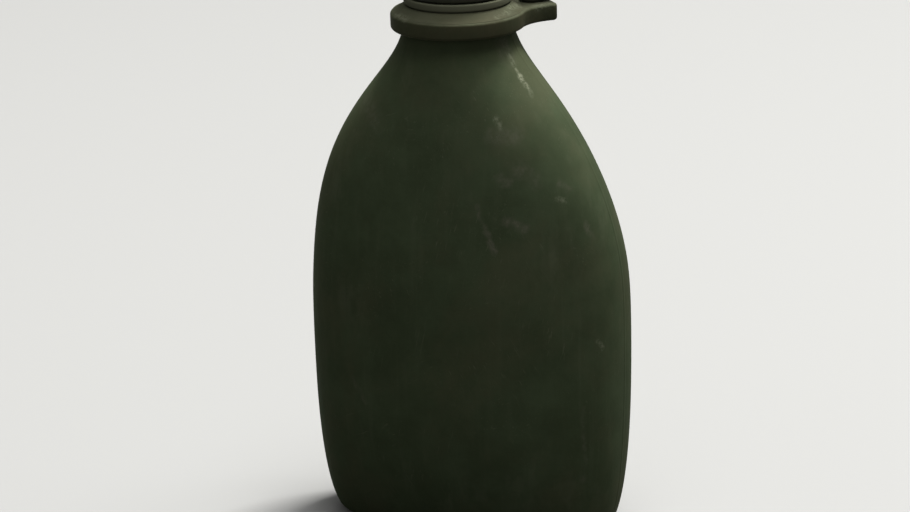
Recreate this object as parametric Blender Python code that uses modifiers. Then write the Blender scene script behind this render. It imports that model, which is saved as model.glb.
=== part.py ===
"""A plastic military canteen: a kidney-shaped bottle, a screw cap and the strap that keeps the cap.

Lengths are in metres and +Z is up. The origin is on the plane that the foot stands on, under the neck's
axis. The bottle's convex front faces -Y and its hollow back faces +Y. A loose ring round the neck carries a
lug, a stud holds the strap's lower end on the lug, and a rivet holds its upper end on the cap's crown.
Heights are measured from the foot's plane, and each object's own origin is on the axis that it turns
about.
"""
import math

import bmesh
import bpy
from mathutils import Vector
from mathutils.geometry import interpolate_bezier

# Fits
CLEARANCE = 0.0003
HOLE_PLAY = 0.0003

# Bottle: overall form
WALL = 0.0020
BODY_HALF_WIDTH = 0.0605
FRONT_DEPTH = 0.0343
BACK_DEPTH = 0.031
WIDEST_HEIGHT = 0.0844
SEAT_HEIGHT = 0.1908
SHOULDER_RADIUS = 0.0204
SECTION_POWER = 2.8
SQUARE_FALL = 0.1216

# Bottle: how far its ends bend back, and how its back is hollowed
BEND = 0.0063
BEND_START_DROP = 0.0322
BEND_FALL = 0.0629
BACK_HOLLOW = 0.004
HOLLOW_HALF_WIDTH = 0.044

# Bottle: the curves of its outline seen from the front
FOOT_HALF_WIDTH = 0.0514
FOOT_CORNER_WIDTH = 0.004
FOOT_CORNER_HEIGHT = 0.0164
SHOULDER_ROUND = 0.0745
SHOULDER_FLARE = 0.0044
SHOULDER_RISE = 0.0212

# Bottle: the curves of its outline seen from the side
FOOT_FRONT_DEPTH = 0.017
FOOT_EDGE_DEPTH = 0.006
FOOT_EDGE_HEIGHT = 0.018
FRONT_FULL_HEIGHT = 0.055
FRONT_TURN_HEIGHT = 0.0934
FRONT_ROUND = 0.0264
FRONT_FLARE = 0.0055
FRONT_RISE = 0.016

# Bottle: foot
FOOT_LAND = 0.007
FOOT_SLOPE = 0.003
FOOT_RECESS = 0.0015

# Bottle: neck
GROOVE_RADIUS = 0.0185
BEAD_RADIUS = 0.0198
BEAD_HEIGHT = 0.0028
BEAD_EDGE = 0.0006
FINISH_RADIUS = 0.0159
FINISH_HEIGHT = 0.0141

# Neck ring and its lug
RING_RADIUS = 0.0248
RING_HEIGHT = 0.0064
RING_EDGE = 0.0008
COLLAR_FOOT_RADIUS = 0.0237
COLLAR_RADIUS = 0.0197
COLLAR_RISE = 0.0028
COLLAR_EDGE = 0.0003
BORE_EDGE = 0.0003
LUG_ANGLE = math.radians(43)
LUG_REACH = 0.0362
LUG_HALF_WIDTH = 0.0086
LUG_CORNER = 0.0020
LUG_FILLET = 0.0160
LUG_HOLE_OFFSET = 0.0290

# Strap stud and crown rivet
SHANK_RADIUS = 0.0020
STUD_HEAD_RADIUS = 0.0039
STUD_HEAD_HEIGHT = 0.0014
STUD_TAIL_RADIUS = 0.0035
STUD_TAIL_HEIGHT = 0.0012
STUD_TAIL_INSET = 0.0004
RIVET_HEAD_RADIUS = 0.0050
RIVET_HEAD_HEIGHT = 0.0016
RIVET_TAIL_RADIUS = 0.0040
RIVET_TAIL_HEIGHT = 0.0010
HEAD_EDGE = 0.0003

# Cap
SKIRT_GAP = 0.0006
CAP_RADIUS = 0.0195
CAP_WALL = 0.0020
CAP_EDGE = 0.0022
CROWN_THICKNESS = 0.0034
HEM_HEIGHT = 0.0020
RIB_COUNT = 48
RIB_DEPTH = 0.0005
HEM_LIP = 0.0002
RIB_ROOT = 0.0003
GASKET_THICKNESS = 0.0015
GASKET_EDGE = 0.0003

# Strap
STRAP_HALF_WIDTH = 0.0045
STRAP_THICKNESS = 0.0016
STRAP_FLAT = 0.0020
STRAP_TURN = 0.0040
STRAP_BOW = 0.0415
STRAP_BOW_RISE = 0.0130
STRAP_BOW_HANDLE = 0.0080
STRAP_CROWN_FLAT = 0.0165
STRAP_CROWN_HANDLE = 0.0150
STRAP_EYE_RADIUS = 0.0070
STRAP_STEP = 0.0017

# Facets
AROUND = 48
SMALL_AROUND = 24
CORNER_STEPS = 5
DOME_STEPS = 4
FOOT_STATIONS = 13
SHOULDER_STATIONS = 24
STRAP_ACROSS = 5

# Heights and radii that follow from the sizes above
RING_BOTTOM = SEAT_HEIGHT + CLEARANCE
RING_TOP = RING_BOTTOM + RING_HEIGHT
COLLAR_TOP = RING_TOP + COLLAR_RISE
BEAD_BOTTOM = COLLAR_TOP + CLEARANCE
BEAD_TOP = BEAD_BOTTOM + BEAD_HEIGHT
SKIRT_BOTTOM = BEAD_TOP + SKIRT_GAP
RIM_HEIGHT = BEAD_TOP + FINISH_HEIGHT
GASKET_BOTTOM = RIM_HEIGHT + CLEARANCE
GASKET_TOP = GASKET_BOTTOM + GASKET_THICKNESS
CROWN_UNDERSIDE = GASKET_TOP + CLEARANCE
CROWN_TOP = CROWN_UNDERSIDE + CROWN_THICKNESS
CAP_BORE = CAP_RADIUS - CAP_WALL
HOLE_RADIUS = SHANK_RADIUS + HOLE_PLAY
STRAP_LOW = RING_TOP + CLEARANCE + STRAP_THICKNESS / 2
STRAP_HIGH = CROWN_TOP + CLEARANCE + STRAP_THICKNESS / 2


def clear_scene():
    for obj in list(bpy.data.objects):
        bpy.data.objects.remove(obj, do_unlink=True)


def new_collection(name):
    group = bpy.data.collections.new(name)
    bpy.context.scene.collection.children.link(group)
    return group


def plastic(name, colour, roughness):
    made = bpy.data.materials.new(name)
    made.use_nodes = True
    shader = made.node_tree.nodes["Principled BSDF"]
    shader.inputs["Base Color"].default_value = (*colour, 1)
    shader.inputs["Roughness"].default_value = roughness
    shader.inputs["Metallic"].default_value = 0
    return made


def place(name, data, group, base=0.0, parent=None, reach=0.0):
    """Links an object whose origin is at height base, and reach out from the parent's axis."""
    obj = bpy.data.objects.new(name, data)
    group.objects.link(obj)
    obj.location = (reach, 0, base)
    if parent is not None:
        obj.parent = parent
        obj.location.z -= parent.location.z
    return obj


def finish(obj, material, angle=35):
    weld = obj.modifiers.new("weld", "WELD")
    weld.merge_threshold = 0.00002
    obj.data.materials.append(material)
    obj.data.shade_smooth()
    obj.data.set_sharp_from_angle(angle=math.radians(angle))
    return obj


def combine(obj, cutter, operation):
    cutter.hide_render = True
    cutter.display_type = "WIRE"
    step = obj.modifiers.new(cutter.name, "BOOLEAN")
    step.operation = operation
    step.object = cutter
    step.solver = "EXACT"


def turned(name, profile, group, base=0.0, parent=None, reach=0.0, steps=AROUND, closed=False):
    """A solid turned about Z from (radius, height) points that run down its outer side."""
    mesh = bpy.data.meshes.new(name)
    points = [(radius, 0, height - base) for radius, height in profile]
    edges = [(i, i + 1) for i in range(len(points) - 1)]
    if closed:
        edges.append((len(points) - 1, 0))
    mesh.from_pydata(points, edges, [])
    obj = place(name, mesh, group, base, parent, reach)
    screw = obj.modifiers.new("turn", "SCREW")
    screw.axis = "Z"
    screw.angle = math.tau
    screw.steps = steps
    screw.render_steps = steps
    screw.use_merge_vertices = True
    screw.merge_threshold = 0.00001
    return obj


def arc(centre_x, centre_y, radius, start, stop, steps):
    """Points on an arc from start to stop, in radians."""
    angles = [start + (stop - start) * i / steps for i in range(steps + 1)]
    return [(centre_x + radius * math.cos(a), centre_y + radius * math.sin(a)) for a in angles]


def bezier(start, handle_1, handle_2, stop, steps):
    """Points along a cubic curve in a plane."""
    knots = [Vector((x, y, 0)) for x, y in (start, handle_1, handle_2, stop)]
    return [(p.x, p.y) for p in interpolate_bezier(*knots, steps + 1)]


def smooth_step(share):
    share = min(1.0, max(0.0, share))
    return share * share * (3 - 2 * share)


def reading(outline, height):
    """The distance that an outline of (distance, height) points has at a height."""
    for (near, low), (far, high) in zip(outline, outline[1:]):
        if low <= height <= high and high > low:
            return near + (far - near) * (height - low) / (high - low)
    return outline[-1][0]


def flat_plate(name, loops, thickness, edge, group, base, parent):
    """A plate with rounded edges on a flat outline, whose inner loops are holes."""
    curve = bpy.data.curves.new(name, "CURVE")
    curve.dimensions = "2D"
    curve.fill_mode = "BOTH"
    curve.extrude = thickness / 2 - edge
    curve.bevel_depth = edge
    curve.bevel_resolution = 1
    curve.offset = -edge
    for loop in loops:
        spline = curve.splines.new("POLY")
        spline.points.add(len(loop) - 1)
        for point, (x, y) in zip(spline.points, loop):
            point.co = (x, y, 0, 1)
        spline.use_cyclic_u = True
    drawn = place(name + "_outline", curve, group)
    evaluated = drawn.evaluated_get(bpy.context.evaluated_depsgraph_get())
    mesh = bpy.data.meshes.new_from_object(evaluated)
    bpy.data.objects.remove(drawn, do_unlink=True)
    plate = bmesh.new()
    plate.from_mesh(mesh)
    bmesh.ops.remove_doubles(plate, verts=plate.verts, dist=0.000002)
    bmesh.ops.translate(plate, verts=plate.verts, vec=(0, 0, thickness / 2))
    bmesh.ops.recalc_face_normals(plate, faces=plate.faces)
    plate.to_mesh(mesh)
    plate.free()
    mesh.materials.clear()
    return place(name, mesh, group, base, parent)


def side_outline():
    """Half width against height, from the foot's flat to the ring's seat."""
    low = bezier(
        (FOOT_HALF_WIDTH, 0),
        (FOOT_HALF_WIDTH + FOOT_CORNER_WIDTH, 0),
        (BODY_HALF_WIDTH, FOOT_CORNER_HEIGHT),
        (BODY_HALF_WIDTH, WIDEST_HEIGHT),
        FOOT_STATIONS,
    )
    high = bezier(
        (BODY_HALF_WIDTH, WIDEST_HEIGHT),
        (BODY_HALF_WIDTH, WIDEST_HEIGHT + SHOULDER_ROUND),
        (SHOULDER_RADIUS + SHOULDER_FLARE, SEAT_HEIGHT - SHOULDER_RISE),
        (SHOULDER_RADIUS, SEAT_HEIGHT),
        SHOULDER_STATIONS,
    )
    return low + high[1:]


def front_outline():
    """Depth of the front against height, from the foot's flat to the ring's seat."""
    low = bezier(
        (FOOT_FRONT_DEPTH, 0),
        (FOOT_FRONT_DEPTH + FOOT_EDGE_DEPTH, 0),
        (FRONT_DEPTH, FOOT_EDGE_HEIGHT),
        (FRONT_DEPTH, FRONT_FULL_HEIGHT),
        SHOULDER_STATIONS,
    )
    high = bezier(
        (FRONT_DEPTH, FRONT_TURN_HEIGHT),
        (FRONT_DEPTH, FRONT_TURN_HEIGHT + FRONT_ROUND),
        (SHOULDER_RADIUS + FRONT_FLARE, SEAT_HEIGHT - FRONT_RISE),
        (SHOULDER_RADIUS, SEAT_HEIGHT),
        SHOULDER_STATIONS,
    )
    return low + high


def kidney_section(half_width, front, height):
    """The points round the bottle at one height: round at the neck, a bent oval lower down."""
    back_share = (BACK_DEPTH - SHOULDER_RADIUS) / (FRONT_DEPTH - SHOULDER_RADIUS)
    back = SHOULDER_RADIUS + (front - SHOULDER_RADIUS) * back_share
    squareness = smooth_step((SEAT_HEIGHT - height) / SQUARE_FALL)
    power = 2 / (2 + (SECTION_POWER - 2) * squareness)
    bent = smooth_step((SEAT_HEIGHT - BEND_START_DROP - height) / BEND_FALL)
    points = []
    for i in range(AROUND):
        angle = math.tau * i / AROUND
        across = math.cos(angle)
        along = math.sin(angle)
        x = half_width * math.copysign(abs(across) ** power, across)
        depth = back if along > 0 else front
        y = depth * math.copysign(abs(along) ** power, along)
        y += BEND * bent * (x / BODY_HALF_WIDTH) ** 2
        if along > 0:
            y -= BACK_HOLLOW * bent * max(0.0, 1 - (x / HOLLOW_HALF_WIDTH) ** 2) ** 2
        points.append((x, y, height))
    return points


def bottle_sections():
    """Sections from the foot's recess out over its land, up the body and on to the mouth's rim."""
    land_width = FOOT_HALF_WIDTH - FOOT_LAND
    land_front = FOOT_FRONT_DEPTH - FOOT_LAND
    recess = kidney_section(land_width - FOOT_SLOPE, land_front - FOOT_SLOPE, 0)
    sections = [[(x, y, FOOT_RECESS) for x, y, _ in recess]]
    sections.append(kidney_section(land_width, land_front, 0))
    front = front_outline()
    for half_width, height in side_outline():
        sections.append(kidney_section(half_width, reading(front, height), height))
    neck = arc(0, 0, FINISH_RADIUS, 0, math.tau, AROUND)[:-1]
    for height in (SEAT_HEIGHT, RIM_HEIGHT):
        sections.append([(x, y, height) for x, y in neck])
    return sections


def loft(name, sections):
    """An open skin through the sections, closed at the first one by a fan."""
    skin = bmesh.new()
    rings = [[skin.verts.new(p) for p in section] for section in sections]
    count = len(sections[0])
    for low, high in zip(rings, rings[1:]):
        for i in range(count):
            j = (i + 1) % count
            skin.faces.new((low[i], low[j], high[j], high[i]))
    first = rings[0]
    centre = skin.verts.new(sum((v.co for v in first), Vector()) / count)
    for i in range(count):
        skin.faces.new((centre, first[(i + 1) % count], first[i]))
    mesh = bpy.data.meshes.new(name)
    skin.to_mesh(mesh)
    skin.free()
    return mesh


def make_bottle(parts, cutters, material):
    """The blow-moulded shell, with the collar that the ring turns in moulded round its neck."""
    bottle = place("bottle", loft("bottle", bottle_sections()), parts)
    shell = bottle.modifiers.new("wall", "SOLIDIFY")
    shell.thickness = WALL
    shell.offset = -1
    shell.use_even_offset = True
    inside = FINISH_RADIUS - WALL / 2
    root = SEAT_HEIGHT - WALL / 2
    profile = [
        (inside, BEAD_TOP),
        (BEAD_RADIUS - BEAD_EDGE, BEAD_TOP),
        (BEAD_RADIUS, BEAD_TOP - BEAD_EDGE),
        (BEAD_RADIUS, BEAD_BOTTOM + BEAD_EDGE),
        (BEAD_RADIUS - BEAD_EDGE, BEAD_BOTTOM),
        (GROOVE_RADIUS, BEAD_BOTTOM),
        (GROOVE_RADIUS, root),
        (inside, root),
    ]
    combine(bottle, turned("neck_collar", profile, cutters, closed=True), "UNION")
    return finish(bottle, material)


def ring_outline():
    """The ring's round edge, which runs through a hollow fillet into each side of the lug on +X."""
    corner_x = LUG_REACH - LUG_CORNER
    corner_y = LUG_HALF_WIDTH - LUG_CORNER
    fillet_y = LUG_HALF_WIDTH + LUG_FILLET
    fillet_x = math.sqrt((RING_RADIUS + LUG_FILLET)**2 - fillet_y**2)
    tangent = math.atan2(fillet_y, fillet_x)
    quarter = math.pi / 2
    round_steps = round(AROUND * (1 - tangent / math.pi))
    points = arc(0, 0, RING_RADIUS, tangent, math.tau - tangent, round_steps)
    points += arc(fillet_x, -fillet_y, LUG_FILLET, math.pi - tangent, quarter, CORNER_STEPS)[1:]
    points += arc(corner_x, -corner_y, LUG_CORNER, -quarter, 0, CORNER_STEPS)
    points += arc(corner_x, corner_y, LUG_CORNER, 0, quarter, CORNER_STEPS)
    points += arc(fillet_x, fillet_y, LUG_FILLET, -quarter, tangent - math.pi, CORNER_STEPS)[:-1]
    return points


def make_neck_ring(parts, cutters, axis, material):
    """The loose ring: a flat plate with the lug, a sloping collar on its top and a bore for the groove."""
    ring = flat_plate("neck_ring", [ring_outline()], RING_HEIGHT, RING_EDGE, parts, RING_BOTTOM, axis)
    profile = [
        (0, COLLAR_TOP),
        (COLLAR_RADIUS - COLLAR_EDGE, COLLAR_TOP),
        (COLLAR_RADIUS, COLLAR_TOP - COLLAR_EDGE),
        (COLLAR_FOOT_RADIUS, RING_TOP),
        (COLLAR_FOOT_RADIUS, RING_TOP - RING_EDGE),
        (0, RING_TOP - RING_EDGE),
    ]
    combine(ring, turned("ring_collar", profile, cutters, RING_BOTTOM, axis), "UNION")
    bore = GROOVE_RADIUS + CLEARANCE
    profile = [
        (0, COLLAR_TOP + BORE_EDGE),
        (bore + 2 * BORE_EDGE, COLLAR_TOP + BORE_EDGE),
        (bore, COLLAR_TOP - BORE_EDGE),
        (bore, RING_BOTTOM + BORE_EDGE),
        (bore + 2 * BORE_EDGE, RING_BOTTOM - BORE_EDGE),
        (0, RING_BOTTOM - BORE_EDGE),
    ]
    combine(ring, turned("ring_bore", profile, cutters, RING_BOTTOM, axis), "DIFFERENCE")
    pocket_radius = STUD_TAIL_RADIUS + HOLE_PLAY
    pocket_top = RING_BOTTOM + STUD_TAIL_INSET + STUD_TAIL_HEIGHT + CLEARANCE
    profile = [
        (0, RING_TOP + RING_EDGE),
        (HOLE_RADIUS, RING_TOP + RING_EDGE),
        (HOLE_RADIUS, pocket_top),
        (pocket_radius, pocket_top),
        (pocket_radius, RING_BOTTOM - RING_EDGE),
        (0, RING_BOTTOM - RING_EDGE),
    ]
    drill = turned("stud_hole", profile, cutters, RING_BOTTOM, axis, LUG_HOLE_OFFSET, SMALL_AROUND)
    combine(ring, drill, "DIFFERENCE")
    return finish(ring, material)


def headed_pin(name, head, tail, seat, end, parts, parent, reach, material):
    """A pin with a domed head on its seat and a flat tail that ends at a height."""
    head_radius, head_height = head
    tail_radius, tail_height = tail
    rise = head_height - HEAD_EDGE
    quarter = arc(0, 0, 1, math.pi / 2, 0, DOME_STEPS)
    profile = [(head_radius * x, seat + HEAD_EDGE + rise * y) for x, y in quarter]
    profile[0] = (0, seat + head_height)
    profile += [
        (head_radius - HEAD_EDGE, seat),
        (SHANK_RADIUS, seat),
        (SHANK_RADIUS, end + tail_height),
        (tail_radius - HEAD_EDGE, end + tail_height),
        (tail_radius, end + tail_height - HEAD_EDGE),
        (tail_radius, end + HEAD_EDGE),
        (tail_radius - HEAD_EDGE, end),
        (0, end),
    ]
    pin = turned(name, profile, parts, end, parent, reach, SMALL_AROUND)
    return finish(pin, material)


def strap_route():
    """The strap's middle line as (reach, height) points, from the lug's stud over to the rivet."""
    start = LUG_HOLE_OFFSET - STRAP_HALF_WIDTH
    turn = LUG_HOLE_OFFSET + STRAP_FLAT
    bow_height = STRAP_LOW + STRAP_BOW_RISE
    outward = bezier(
        (turn, STRAP_LOW),
        (turn + STRAP_TURN, STRAP_LOW),
        (STRAP_BOW, bow_height - STRAP_BOW_HANDLE),
        (STRAP_BOW, bow_height),
        SMALL_AROUND,
    )
    inward = bezier(
        (STRAP_BOW, bow_height),
        (STRAP_BOW, bow_height + STRAP_BOW_HANDLE),
        (STRAP_CROWN_FLAT + STRAP_CROWN_HANDLE, STRAP_HIGH),
        (STRAP_CROWN_FLAT, STRAP_HIGH),
        SMALL_AROUND,
    )
    return [(start, STRAP_LOW)] + outward + inward[1:] + [(-STRAP_EYE_RADIUS, STRAP_HIGH)]


def route_point(route, travel):
    """The point at a distance along the route."""
    for (x0, z0), (x1, z1) in zip(route, route[1:]):
        step = math.hypot(x1 - x0, z1 - z0)
        if travel <= step:
            return x0 + (x1 - x0) * travel / step, z0 + (z1 - z0) * travel / step
        travel -= step
    return route[-1]


def eye_stations(radius, steps):
    """Distances from a round end to where the strap reaches the eye's middle."""
    return [radius * (1 - math.cos(math.pi / 2 * (i + 0.5) / steps)) for i in range(steps)]


def strap_skin():
    """The strap's middle surface: a strip with a round end at the stud and a round eye at the rivet."""
    route = strap_route()
    length = sum(math.dist(a, b) for a, b in zip(route, route[1:]))
    low = eye_stations(STRAP_HALF_WIDTH, CORNER_STEPS)
    high = eye_stations(STRAP_EYE_RADIUS, 2 * CORNER_STEPS)
    inner_start = STRAP_HALF_WIDTH
    inner_stop = length - STRAP_EYE_RADIUS
    eye_mouth = STRAP_EYE_RADIUS + math.sqrt(STRAP_EYE_RADIUS**2 - STRAP_HALF_WIDTH**2)
    count = max(1, round((length - eye_mouth - inner_start) / STRAP_STEP))
    run = [inner_start + (length - eye_mouth - inner_start) * i / count for i in range(count + 1)]
    widening = eye_mouth - STRAP_EYE_RADIUS
    far = [length - eye_mouth + widening * i / CORNER_STEPS for i in range(1, CORNER_STEPS)]
    stations = low + run + far + [inner_stop] + [length - s for s in reversed(high)]
    strip = bmesh.new()
    rows = []
    for travel in stations:
        from_start = travel - inner_start
        from_stop = travel - inner_stop
        half = STRAP_HALF_WIDTH
        if from_start < 0:
            half = math.sqrt(max(0.0, STRAP_HALF_WIDTH**2 - from_start**2))
        if abs(from_stop) < STRAP_EYE_RADIUS:
            eye = math.sqrt(STRAP_EYE_RADIUS**2 - from_stop**2)
            half = eye if from_stop > 0 else max(half, eye)
        x, z = route_point(route, travel)
        across = [half * (2 * i / STRAP_ACROSS - 1) for i in range(STRAP_ACROSS + 1)]
        rows.append([strip.verts.new((x, y, z)) for y in across])
    for low_row, high_row in zip(rows, rows[1:]):
        for i in range(STRAP_ACROSS):
            strip.faces.new((low_row[i], high_row[i], high_row[i + 1], low_row[i + 1]))
    mesh = bpy.data.meshes.new("tether_strap")
    strip.to_mesh(mesh)
    strip.free()
    return mesh


def make_strap(parts, cutters, axis, material):
    mesh = strap_skin()
    strap = place("tether_strap", mesh, parts, 0, axis)
    skin = strap.modifiers.new("thickness", "SOLIDIFY")
    skin.thickness = STRAP_THICKNESS
    skin.offset = 0
    holes = [("strap_stud_hole", LUG_HOLE_OFFSET, STRAP_LOW), ("strap_rivet_hole", 0, STRAP_HIGH)]
    for name, reach, height in holes:
        profile = [
            (0, height + STRAP_THICKNESS),
            (HOLE_RADIUS, height + STRAP_THICKNESS),
            (HOLE_RADIUS, height - STRAP_THICKNESS),
            (0, height - STRAP_THICKNESS),
        ]
        punch = turned(name, profile, cutters, height, axis, reach, SMALL_AROUND)
        combine(strap, punch, "DIFFERENCE")
    return finish(strap, material)


def rib_outline(root, crest):
    """A round outline with flat-topped ribs."""
    points = []
    for i in range(4 * RIB_COUNT):
        angle = math.tau * (i + 0.5) / (4 * RIB_COUNT)
        radius = crest if i % 4 in (1, 2) else root
        points.append((radius * math.cos(angle), radius * math.sin(angle)))
    return points


def make_cap_shell(parts, cutters, axis, material):
    """The screw cap: a hemmed skirt with grip ribs, and a crown drilled for the rivet."""
    crest = CAP_RADIUS - HEM_LIP
    root = crest - RIB_DEPTH
    pocket_radius = RIVET_TAIL_RADIUS + HOLE_PLAY
    pocket_top = CROWN_UNDERSIDE + RIVET_TAIL_HEIGHT + 2 * CLEARANCE
    profile = [(HOLE_RADIUS, CROWN_TOP)]
    profile += arc(root - CAP_EDGE, CROWN_TOP - CAP_EDGE, CAP_EDGE, math.pi / 2, 0, CORNER_STEPS)
    profile += [
        (root, SKIRT_BOTTOM + HEM_HEIGHT + CAP_RADIUS - root),
        (CAP_RADIUS, SKIRT_BOTTOM + HEM_HEIGHT),
        (CAP_RADIUS, SKIRT_BOTTOM),
        (CAP_BORE, SKIRT_BOTTOM),
        (CAP_BORE, CROWN_UNDERSIDE),
        (pocket_radius, CROWN_UNDERSIDE),
        (pocket_radius, pocket_top),
        (HOLE_RADIUS, pocket_top),
    ]
    cap = turned("cap_shell", profile, parts, SKIRT_BOTTOM, axis, closed=True)
    rib_bottom = SKIRT_BOTTOM + HEM_HEIGHT / 2
    rib_height = CROWN_TOP - CAP_EDGE - RIB_DEPTH - rib_bottom
    loops = [rib_outline(root - RIB_ROOT, crest), arc(0, 0, root - 2 * RIB_ROOT, 0, math.tau, AROUND)[:-1]]
    ribs = flat_plate("grip_ribs", loops, rib_height, 0, cutters, rib_bottom, axis)
    combine(cap, ribs, "UNION")
    return finish(cap, material)


def make_gasket(parts, axis, material):
    radius = CAP_BORE - CLEARANCE
    profile = [
        (0, GASKET_TOP),
        (radius - GASKET_EDGE, GASKET_TOP),
        (radius, GASKET_TOP - GASKET_EDGE),
        (radius, GASKET_BOTTOM + GASKET_EDGE),
        (radius - GASKET_EDGE, GASKET_BOTTOM),
        (0, GASKET_BOTTOM),
    ]
    return finish(turned("cap_gasket", profile, parts, GASKET_BOTTOM, axis), material)


def axis_empty(name, group, height, turn=0.0):
    empty = place(name, None, group, height)
    empty.rotation_euler.z = turn
    return empty


def main():
    clear_scene()
    parts = new_collection("military_canteen")
    cutters = new_collection("cutters")
    olive = plastic("olive_polyethylene", (0.075, 0.085, 0.048), 0.48)
    dark = plastic("dark_cap_plastic", (0.022, 0.024, 0.017), 0.5)
    brown = plastic("brown_stud_plastic", (0.040, 0.030, 0.021), 0.5)
    rubber = plastic("gasket_rubber", (0.020, 0.020, 0.019), 0.8)

    make_bottle(parts, cutters, olive)

    ring_axis = axis_empty("neck_ring_axis", parts, RING_BOTTOM, LUG_ANGLE)
    make_neck_ring(parts, cutters, ring_axis, olive)
    make_strap(parts, cutters, ring_axis, dark)
    headed_pin(
        "strap_stud",
        (STUD_HEAD_RADIUS, STUD_HEAD_HEIGHT),
        (STUD_TAIL_RADIUS, STUD_TAIL_HEIGHT),
        STRAP_LOW + STRAP_THICKNESS / 2 + CLEARANCE,
        RING_BOTTOM + STUD_TAIL_INSET,
        parts,
        ring_axis,
        LUG_HOLE_OFFSET,
        brown,
    )

    cap_axis = axis_empty("cap_axis", parts, SKIRT_BOTTOM)
    headed_pin(
        "crown_rivet",
        (RIVET_HEAD_RADIUS, RIVET_HEAD_HEIGHT),
        (RIVET_TAIL_RADIUS, RIVET_TAIL_HEIGHT),
        STRAP_HIGH + STRAP_THICKNESS / 2 + CLEARANCE,
        CROWN_UNDERSIDE + CLEARANCE,
        parts,
        cap_axis,
        0,
        brown,
    )
    make_cap_shell(parts, cutters, cap_axis, dark)
    make_gasket(parts, cap_axis, rubber)


main()
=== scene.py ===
"""Looks of a plastic military canteen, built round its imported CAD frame. Lengths are in metres, +Z is up.

Each skin below stands for one CAD solid. It has the same sizes, finer facets, and the screw threads, the
mould's parting line and the small trim that the solids leave out.
"""

import math

import bmesh
import bpy
import numpy as np
from mathutils import Matrix, Vector


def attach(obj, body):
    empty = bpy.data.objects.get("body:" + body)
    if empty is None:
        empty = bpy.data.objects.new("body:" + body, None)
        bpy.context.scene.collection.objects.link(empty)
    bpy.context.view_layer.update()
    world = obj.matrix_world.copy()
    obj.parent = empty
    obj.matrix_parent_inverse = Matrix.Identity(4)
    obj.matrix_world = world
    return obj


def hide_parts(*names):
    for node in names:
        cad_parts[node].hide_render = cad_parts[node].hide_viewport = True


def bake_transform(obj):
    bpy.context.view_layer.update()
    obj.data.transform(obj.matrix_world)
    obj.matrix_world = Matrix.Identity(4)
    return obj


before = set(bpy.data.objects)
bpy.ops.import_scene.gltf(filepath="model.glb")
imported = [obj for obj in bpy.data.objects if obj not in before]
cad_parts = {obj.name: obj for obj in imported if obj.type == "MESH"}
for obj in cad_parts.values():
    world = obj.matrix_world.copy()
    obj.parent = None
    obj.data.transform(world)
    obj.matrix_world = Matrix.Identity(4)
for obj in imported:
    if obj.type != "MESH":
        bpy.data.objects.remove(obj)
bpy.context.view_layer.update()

# ---- sizes that the CAD source has too, under the same names

# Fits
CLEARANCE = 0.0003
HOLE_PLAY = 0.0003

# The bottle's overall form
WALL = 0.0020
BODY_HALF_WIDTH = 0.0605
FRONT_DEPTH = 0.0343
BACK_DEPTH = 0.031
WIDEST_HEIGHT = 0.0844
SEAT_HEIGHT = 0.1908
SHOULDER_RADIUS = 0.0204
SECTION_POWER = 2.8
SQUARE_FALL = 0.1216
BEND = 0.0063
BEND_START_DROP = 0.0322
BEND_FALL = 0.0629
BACK_HOLLOW = 0.004
HOLLOW_HALF_WIDTH = 0.044

# The bottle's outlines from the front and from the side, and its foot
FOOT_HALF_WIDTH = 0.0514
FOOT_CORNER_WIDTH = 0.004
FOOT_CORNER_HEIGHT = 0.0164
SHOULDER_ROUND = 0.0745
SHOULDER_FLARE = 0.0044
SHOULDER_RISE = 0.0212
FOOT_FRONT_DEPTH = 0.017
FOOT_EDGE_DEPTH = 0.006
FOOT_EDGE_HEIGHT = 0.018
FRONT_FULL_HEIGHT = 0.055
FRONT_TURN_HEIGHT = 0.0934
FRONT_ROUND = 0.0264
FRONT_FLARE = 0.0055
FRONT_RISE = 0.016
FOOT_LAND = 0.007
FOOT_SLOPE = 0.003
FOOT_RECESS = 0.0015

# Neck, ring and cap
GROOVE_RADIUS = 0.0185
BEAD_RADIUS = 0.0198
BEAD_EDGE = 0.0006
FINISH_RADIUS = 0.0159
RING_BOTTOM = 0.1911
RING_TOP = 0.1975
COLLAR_TOP = 0.2003
BEAD_BOTTOM = 0.2006
BEAD_TOP = 0.2034
RIM_HEIGHT = 0.2175
SKIRT_BOTTOM = 0.2040
CROWN_UNDERSIDE = 0.2196
CROWN_TOP = 0.2230
CAP_RADIUS = 0.0195
CAP_BORE = 0.0175
CAP_EDGE = 0.0022
HEM_LIP = 0.0002
RIB_DEPTH = 0.0005
RIB_COUNT = 48
RING_RADIUS = 0.0248
COLLAR_FOOT_RADIUS = 0.0237
COLLAR_RADIUS = 0.0197
COLLAR_EDGE = 0.0003
LUG_ANGLE = math.radians(43)
LUG_REACH = 0.0362
LUG_HALF_WIDTH = 0.0086
LUG_CORNER = 0.0020
LUG_FILLET = 0.0160
LUG_HOLE_OFFSET = 0.0290

# Strap
STRAP_HALF_WIDTH = 0.0045
STRAP_THICKNESS = 0.0016
STRAP_FLAT = 0.0020
STRAP_TURN = 0.0040
STRAP_BOW = 0.0415
STRAP_BOW_RISE = 0.0130
STRAP_BOW_HANDLE = 0.0080
STRAP_CROWN_FLAT = 0.0165
STRAP_CROWN_HANDLE = 0.0150
STRAP_EYE_RADIUS = 0.0070
STRAP_LOW = RING_TOP + CLEARANCE + STRAP_THICKNESS / 2
STRAP_HIGH = CROWN_TOP + CLEARANCE + STRAP_THICKNESS / 2

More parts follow.
